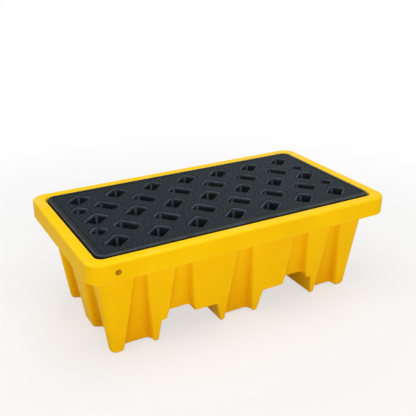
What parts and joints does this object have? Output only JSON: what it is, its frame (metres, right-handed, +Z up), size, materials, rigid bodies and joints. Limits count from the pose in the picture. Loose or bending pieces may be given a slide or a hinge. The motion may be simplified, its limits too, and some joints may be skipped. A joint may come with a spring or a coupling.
{
  "type": "spill containment pallet",
  "caption": "Low moulded sump on legs with fork channels and inner columns, and a lift-off perforated deck that sits inside its rim.",
  "frame": {"origin": "on the floor, under the middle of the pallet", "axes": "+X along the long side, +Y from the front to the back along the fork channels, +Z up"},
  "size_m": [1.3, 0.71, 0.445],
  "materials": {
    "sump_plastic": "satin",
    "deck_plastic": "satin",
    "plug_plastic": "satin"
  },
  "bodies": {
    "sump": {"sump": "sump_plastic", "vent_plug": "plug_plastic"},
    "deck": {"deck": "deck_plastic"}
  },
  "joints": [
    {"name": "deck_lift", "type": "slide", "parent": "sump", "child": "deck", "axis": [0, 0, 1], "range_m": [0, 0.3]}
  ]
}
